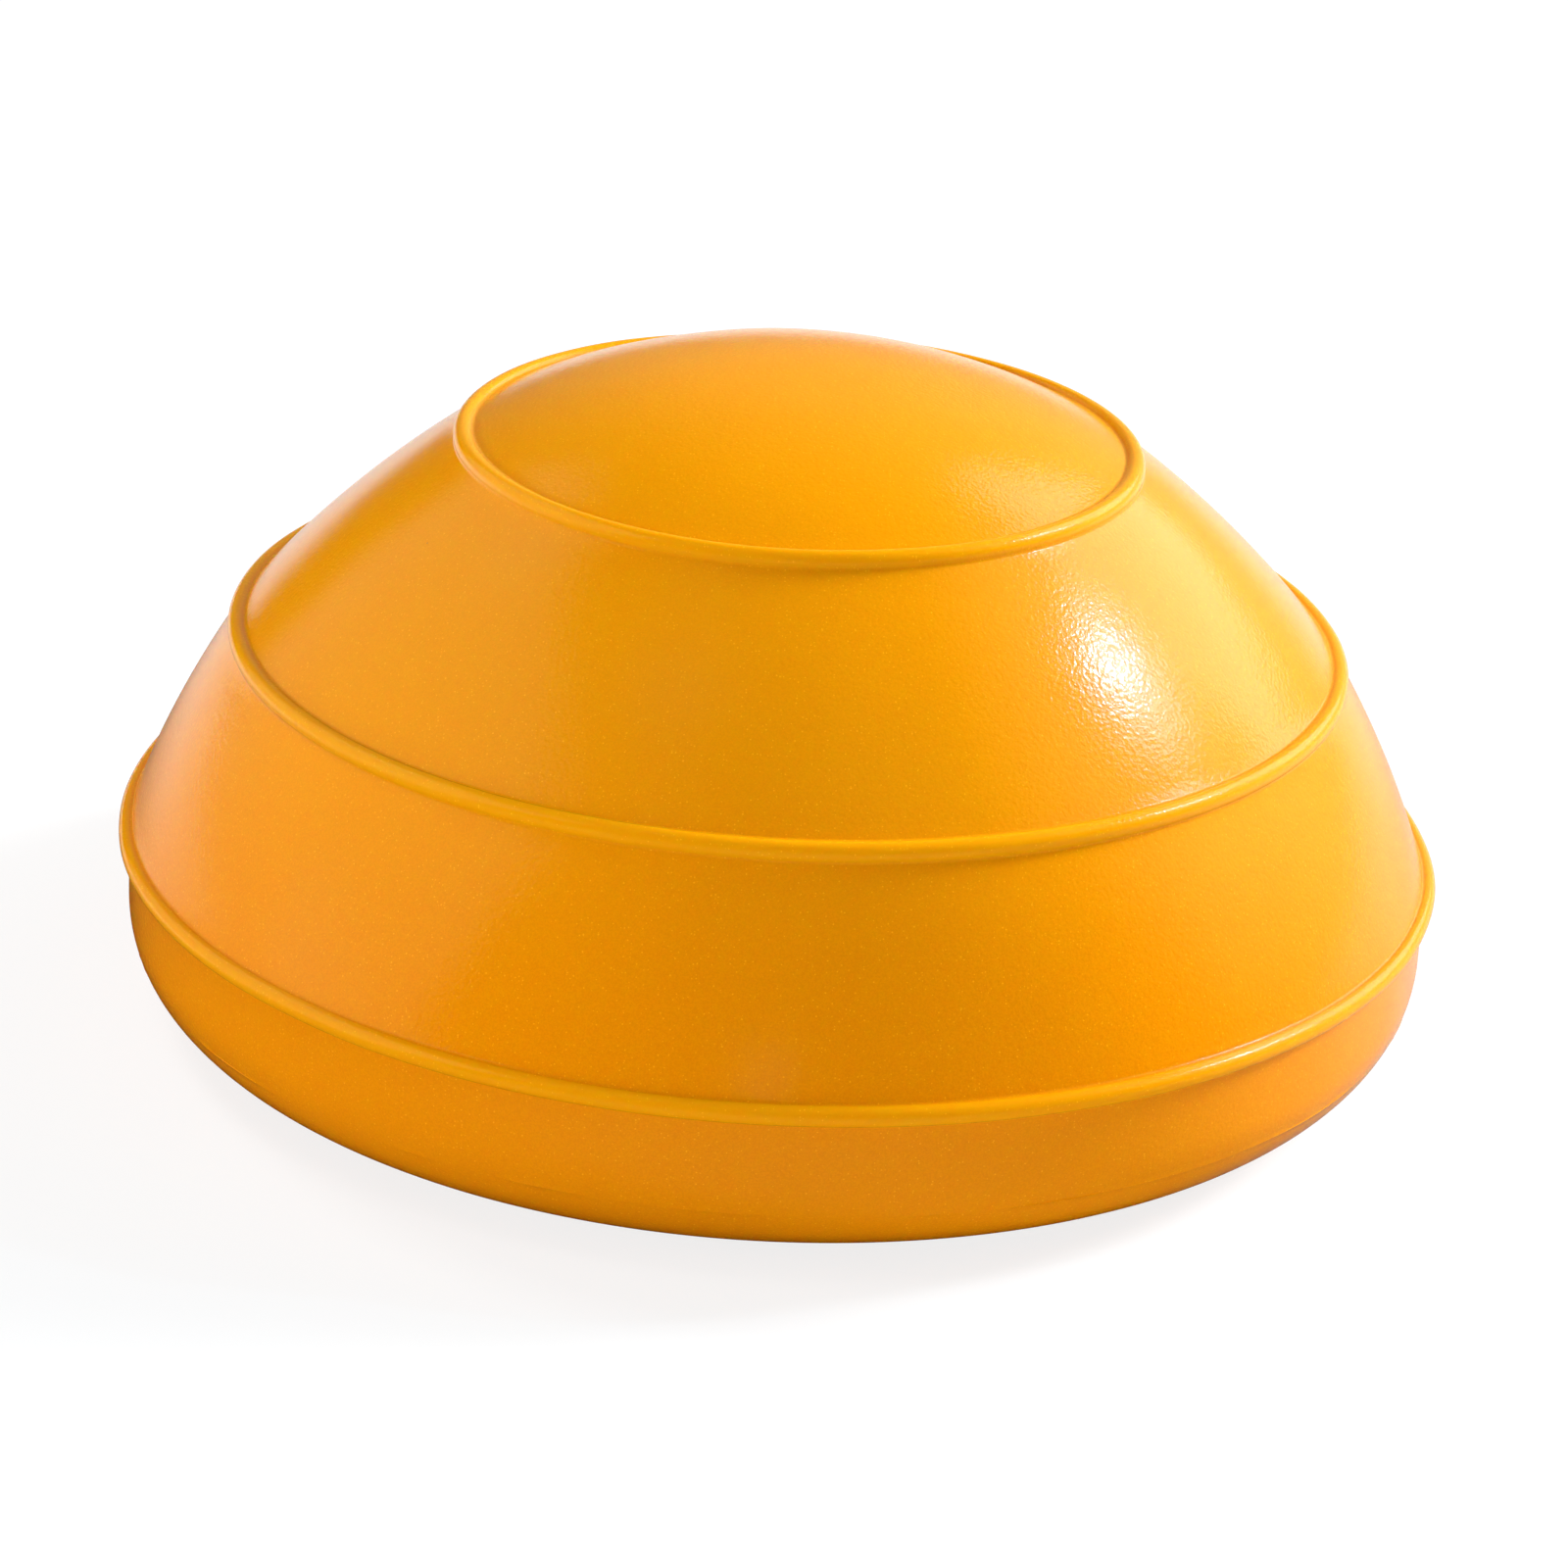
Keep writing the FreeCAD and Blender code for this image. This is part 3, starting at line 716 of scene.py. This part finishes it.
# %% Roughness and bump of the skin
SKIN_ROUGHNESS, DUST_HEIGHTS = 0.13, (0.2 * MM, 2.5 * MM)
scuffing = patches(bench, where, 3 * MM, detail=4.0, roughness=0.65)
near_floor = 1 - bench.step(height, *DUST_HEIGHTS)
dust = near_floor * bench.step(scuffing, 0.4, 0.7)
colour = bench.blend(colour, FOOT_DUST, dust * 0.5)
roughness = SKIN_ROUGHNESS + 0.06 * (clouding - 0.5) + 0.06 * (scuffing - 0.5)
roughness = roughness + 0.25 * dust + 0.15 * specks
peel = patches(bench, where, PEEL, detail=1.0) * 0.85
peel = peel + patches(bench, where, FINE_PEEL, detail=0.0) * 0.15 - specks * 0.6
surface = bench.node("ShaderNodeBump", None, {"Strength": 1.0, "Distance": PEEL_DEPTH, "Height": peel})
vary(bench, shader, {"Base Color": colour, "Roughness": roughness, "Normal": surface})
print("nodes in the skin's finish:", len(skin_finish.node_tree.nodes))

# %% [markdown]
# ## Turning the skin
# The skin's own settings go to the lathe: how many steps round, how proud the parting line may
# be and how uneven the bands are. It replaces the CAD shell and rides on the pod.

# %% The skin
moulded_skin = turn_piece("moulded_skin", skin, {
    "Steps Round": 256,
    "Parting Proud": PARTING_PROUD,
    "Unevenness": 0.25 * MM,
    "Uneven Over": 34 * MM,
    "Uneven Above": 5 * MM,
    "Finish": skin_finish,
})
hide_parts("pod_shell")
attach(moulded_skin, "pod")

# %% [markdown]
# ## Finishes of the valve
# The collar is the same orange PVC with the dull face of a simple mould. The plug is black
# rubber, dusty with the talc that keeps the needle hole from sticking. The stopper is a hard
# off-white plastic with faint rings, as a turned mould leaves them.

# %% Collar, rubber and stopper finishes
COLLAR_DEEP, COLLAR_LIGHT = (0.66, 0.18, 0.002, 1), (0.8, 0.26, 0.006, 1)
RUBBER_BLACK, TALC_GREY = (0.012, 0.012, 0.013, 1), (0.11, 0.105, 0.1, 1)
STOPPER_SHADED, STOPPER_WHITE = (0.78, 0.76, 0.68, 1), (0.86, 0.85, 0.8, 1)
COLLAR_GRAIN, RUBBER_GRAIN = 0.25 * MM, 0.12 * MM
MOULD_RINGS, RING_DEPTH = 0.35 * MM, 0.004 * MM

collar_finish, bench, shader = start_material("collar_pvc", {"IOR": 1.5})
where = bench.node("ShaderNodeTexCoord", out="Object")
clouding = patches(bench, where, 4 * MM, detail=3.0)
grain = patches(bench, where, COLLAR_GRAIN, detail=2.0)
colour = bench.blend(COLLAR_DEEP, COLLAR_LIGHT, clouding)
surface = bench.node("ShaderNodeBump", None, {"Distance": 0.03 * MM, "Height": grain})
vary(bench, shader, {"Base Color": colour, "Roughness": 0.5 + 0.2 * (clouding - 0.5), "Normal": surface})

rubber_finish, bench, shader = start_material("valve_rubber", {"IOR": 1.52})
where = bench.node("ShaderNodeTexCoord", out="Object")
talc = bench.step(patches(bench, where, 1.2 * MM, detail=5.0, roughness=0.7), 0.5, 0.8)
grain = patches(bench, where, RUBBER_GRAIN, detail=3.0)
colour = bench.blend(RUBBER_BLACK, TALC_GREY, talc * 0.6)
surface = bench.node("ShaderNodeBump", None, {"Distance": 0.02 * MM, "Height": grain + talc * 0.5})
vary(bench, shader, {"Base Color": colour, "Roughness": 0.62 + 0.3 * talc, "Normal": surface})

stopper_finish, bench, shader = start_material("stopper_plastic", {"IOR": 1.49, "Coat Weight": 0.2})
where = bench.node("ShaderNodeTexCoord", out="Object")
apart = bench.node("ShaderNodeSeparateXYZ", None, {"Vector": where})
from_axis = (apart.also("X") ** 2 + apart.also("Y") ** 2) ** 0.5
rings = (from_axis * (math.tau / MOULD_RINGS)).fn("SINE")
clouding = patches(bench, where, 2 * MM, detail=3.0)
colour = bench.blend(STOPPER_SHADED, STOPPER_WHITE, clouding)
surface = bench.node("ShaderNodeBump", None, {"Distance": RING_DEPTH, "Height": rings + clouding})
vary(bench, shader, {"Base Color": colour, "Roughness": 0.26 + 0.12 * (clouding - 0.5), "Normal": surface})

# %% [markdown]
# ## Turning the valve
# The three parts go through the same lathe as the skin. Collar and plug ride on the pod. The
# stopper rides on its own body, because it slides out along the axis.

# %% The valve's pieces
SMALL_STEPS = 120
valve_pieces = (
    ("valve_collar", collar, {"Finish": collar_finish}, "valve_housing", "pod", "valve_collar"),
    ("valve_plug", plug, {"Finish": rubber_finish}, "valve_core", "pod", "valve_rubber"),
    ("stopper_pin", stopper, {
        "Finish": stopper_finish, "Notches": NOTCHES, "Notch Radius": NOTCH_RADIUS,
        "Notch Centre": HEAD_RADIUS + NOTCH_RADIUS - NOTCH_DEPTH,
    }, "valve_stopper", "stopper", "stopper"),
)
for name, section, settings, node, body, slot in valve_pieces:
    steps = SMALL_STEPS * 2 if "Notches" in settings else SMALL_STEPS
    piece = turn_piece(name, section, {"Steps Round": steps, **settings})
    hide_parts(node)
    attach(piece, body)

# %% [markdown]
# ## The floor
# The pod stands on a plain pale floor. To the camera the floor is nearly white by itself, so no
# extra light has to fall on the pod to whiten it, and it still takes a soft shadow. Further out
# it fades to the same white as the world, so that no horizon shows. To the skin's gloss the floor
# is painted nearly black, as painted shade, with painted light on it: a glow behind the pod, for
# where it sweeps up to the backdrop, and a painted pool of light on the key's side.

# %% A plain floor
FLOOR_REACH = 3.0
floor_mesh = bpy.data.meshes.new("floor")
edge = FLOOR_REACH
floor_corners = [(-edge, -edge, 0), (edge, -edge, 0), (edge, edge, 0), (-edge, edge, 0)]
floor_mesh.from_pydata(floor_corners, [], [(0, 1, 2, 3)])
floor = bpy.data.objects.new("floor", floor_mesh)
bpy.context.scene.collection.objects.link(floor)
floor_finish = bpy.data.materials.new("pale_floor")
floor_finish.use_nodes = True
floor_finish.node_tree.nodes.clear()
bench = Bench(floor_finish.node_tree)
seen = bench.node("ShaderNodeLightPath", out="Is Camera Ray")
where = bench.node("ShaderNodeTexCoord", out="Object")
distance = bench.node("ShaderNodeVectorMath", {"operation": "LENGTH"}, {"Vector": where}, out="Value")
# The floor's colour for the gloss is painted nearly black, as painted shade; the glows below are painted
# light.
FLOOR_WHITE, FLOOR_PALE, FLOOR_MIRRORED_SHADE, SELF_WHITE = 0.92, 0.68, 0.02, 0.8
PAINTED_SWEEP_GLOW, PAINTED_POOL_GLOW = 0.9, 0.7
PAINTED_SWEEP_REACH, PAINTED_POOL_REACH, WHITE_REACH = (0.08, 0.24), (0.15, 0.3), (0.25, 0.7)
paint = bench.blend((FLOOR_PALE,) * 3 + (1,), (FLOOR_MIRRORED_SHADE,) * 3 + (1,), seen.also("Is Glossy Ray"))
paint = bench.blend(paint, (FLOOR_WHITE,) * 3 + (1,), seen)
matt = bench.node("ShaderNodeBsdfDiffuse", None, {"Color": paint})
glow = bench.node("ShaderNodeEmission", None, {"Color": (1, 1, 1, 1), "Strength": 1.0})
apart = bench.node("ShaderNodeSeparateXYZ", None, {"Vector": where})
# Painted light that only the gloss sees: a painted glow behind the pod and a painted pool of light on the
# key's side.
behind = (apart.also("Y") + 0.3 * apart.also("X").fn("ABSOLUTE")) / distance
painted_sweep = bench.step(behind, -0.4, 1.0) * bench.step(distance, *PAINTED_SWEEP_REACH) * PAINTED_SWEEP_GLOW
key_side = (0.85 * apart.also("X") + 0.5 * apart.also("Y")) / distance
painted_pool = bench.step(key_side, 0.1, 1.1) * PAINTED_POOL_GLOW * (1 - 0.7 * bench.step(distance, *PAINTED_POOL_REACH))
share = seen * (SELF_WHITE + (1 - SELF_WHITE) * bench.step(distance, *WHITE_REACH))
share = share + seen.also("Is Glossy Ray") * painted_sweep.fn("MAXIMUM", painted_pool)
both = bench.node("ShaderNodeMixShader")
for index, value in enumerate((share, matt, glow)):
    fasten(floor_finish.node_tree, both.socket.node.inputs[index], value)
finish_output = floor_finish.node_tree.nodes.new("ShaderNodeOutputMaterial")
fasten(floor_finish.node_tree, finish_output.inputs["Surface"], both)
floor_mesh.materials.append(floor_finish)

# %% [markdown]
# ## Studio light
# The photograph shows its lamps in the skin: a small bright bulb to the right with a dim
# reflector round it, both cooler than the rest, a softbox a little farther back, and a large
# weak panel on the left. The room on the camera's side is dark. Each lamp is given by the
# direction it is seen in from the pod, how wide it looks and how bright its face is. The fills
# stand for light that comes from all round. They are small and out of the reflections, because
# the skin shows no lamp there.

# %% Lamps
LAMP_DISTANCE = 1.6


def direction(azimuth, elevation):
    """Azimuth 0 is the camera's side and 90 its right, in degrees."""
    around, up = math.radians(azimuth), math.radians(elevation)
    return Vector((math.sin(around) * math.cos(up), -math.cos(around) * math.cos(up), math.sin(up)))


def studio_lamp(name, azimuth, elevation, wide, high, brightness, mirrored=True, colour=None):
    """A lamp as seen from the pod, its width and height in degrees. A coloured one is round."""
    distance, way = LAMP_DISTANCE, direction(azimuth, elevation)
    light = bpy.data.lights.new(name, "AREA")
    light.shape = "ELLIPSE" if colour else "RECTANGLE"
    light.color = colour or (1, 1, 1)
    light.size = 2 * distance * math.tan(math.radians(wide / 2))
    light.size_y = 2 * distance * math.tan(math.radians(high / 2))
    area = light.size * light.size_y * (math.pi / 4 if colour else 1)
    light.energy = brightness * math.pi * area
    lamp = bpy.data.objects.new(name, light)
    bpy.context.scene.collection.objects.link(lamp)
    lamp.location = Vector((0, 0, POD_HEIGHT / 2)) + way * distance
    lamp.rotation_mode = "QUATERNION"
    lamp.rotation_quaternion = (-way).to_track_quat("-Z", "Y")
    lamp.visible_camera = False
    lamp.visible_glossy = mirrored
    print(f"{name}: {light.size:.2f} x {light.size_y:.2f} m, {light.energy:.1f} W")


COOL, COOLER = (0.5, 0.8, 1.0), (0.25, 0.75, 1.0)
studio_lamp("key_bulb", 107, 42, 2.2, 2.2, 400, colour=COOL)
studio_lamp("key_reflector", 107, 40, 16, 16, 7, colour=COOLER)
studio_lamp("key_softbox", 134, 31, 31, 36, 1.7)
studio_lamp("left_panel", -98, 28, 78, 58, 0.37)
FILL = 16
studio_lamp("key_fill", 114, 27, FILL, FILL, 71, mirrored=False)
studio_lamp("left_fill", -84, 6, FILL, FILL, 19, mirrored=False)
studio_lamp("back_left_fill", -125, 48, FILL, FILL, 11, mirrored=False)
studio_lamp("top_fill", -50, 68, FILL, FILL, 5, mirrored=False)
studio_lamp("front_fill", 0, 16, FILL / 2, FILL / 2, 64, mirrored=False)

# %% [markdown]
# ## The world around
# The camera sees a white world. Reflections see dim walls with soft patches of light on them,
# behind the pod and to its sides, and nothing on the camera's side, as in a studio where only the
# backdrop is lit. Those patches give the skin the pale haze along its edges. A weak glow from
# above, not mirrored, keeps the hollows beside the ribs warm. There is one from below too, which
# the floor hides, so it only counts when the pod is looked at from under.

# %% World
world = bpy.data.worlds.new("studio")
bpy.context.scene.world = world
world.use_nodes = True
world.node_tree.nodes.clear()
bench = Bench(world.node_tree)
BACK_GLOW, RIGHT_GLOW, KEY_GLOW = 0.3, 0.3, 1.2
GLOW_ABOVE, GLOW_BELOW = 0.25, 0.7
path = bench.node("ShaderNodeLightPath", out="Is Camera Ray")
way = bench.node("ShaderNodeTexCoord", out="Generated")


def wall_glow(azimuth, elevation, strength, edge):
    """A soft patch of light on the room's wall, brightest in one direction and gone beyond its edge."""
    middle = direction(azimuth, elevation)
    settings = {"operation": "DOT_PRODUCT"}
    facing = bench.node("ShaderNodeVectorMath", settings, {0: way, 1: middle}, out="Value")
    return strength * bench.step(facing, math.cos(math.radians(edge)), 1.1)


walls = wall_glow(155, 8, BACK_GLOW, 60) + wall_glow(140, 0, RIGHT_GLOW, 40)
walls = walls + wall_glow(108, 33, KEY_GLOW, 38)
up = bench.node("ShaderNodeSeparateXYZ", None, {"Vector": way}).also("Z")
below = bench.step(0 - up, 0.05, 0.6) * GLOW_BELOW
above = bench.step(up, 0.1, 0.9) * GLOW_ABOVE
mirrored = path.also("Is Glossy Ray")
strength = path + (1 - path) * (below + mirrored * walls + (1 - mirrored) * above)
sky = bench.node("ShaderNodeBackground", None, {"Color": (1, 1, 1, 1), "Strength": strength})
fasten(world.node_tree, world.node_tree.nodes.new("ShaderNodeOutputWorld").inputs["Surface"], sky)

# %% [markdown]
# ## The camera
# It stands 0.6 m away, 23 degrees above the table, with a long lens, and leans by three degrees,
# which is why the pod seems to tip to the right in the picture.

# %% Camera
AIM = Vector((0.38, 0, 26.96)) * MM
CAMERA_DISTANCE, CAMERA_ELEVATION, CAMERA_LEAN = 0.6, math.radians(22.69), math.radians(3.2)
SENSOR_WIDTH, FOCAL_PIXELS, PHOTO_WIDTH = 36.0, 5029.2, 1600
camera_data = bpy.data.cameras.new("camera")
camera_data.sensor_width = SENSOR_WIDTH
camera_data.lens = SENSOR_WIDTH * FOCAL_PIXELS / PHOTO_WIDTH
camera_data.clip_start = 0.05
camera = bpy.data.objects.new("camera", camera_data)
bpy.context.scene.collection.objects.link(camera)
back = Vector((0, -math.cos(CAMERA_ELEVATION), math.sin(CAMERA_ELEVATION)))
tilt = Matrix.Rotation(math.pi / 2 - CAMERA_ELEVATION, 4, "X") @ Matrix.Rotation(CAMERA_LEAN, 4, "Z")
camera.matrix_world = Matrix.Translation(AIM + back * CAMERA_DISTANCE) @ tilt
bpy.context.scene.camera = camera
bpy.context.scene.view_settings.view_transform = "Standard"
print(f"lens {camera_data.lens:.1f} mm at {CAMERA_DISTANCE} m")
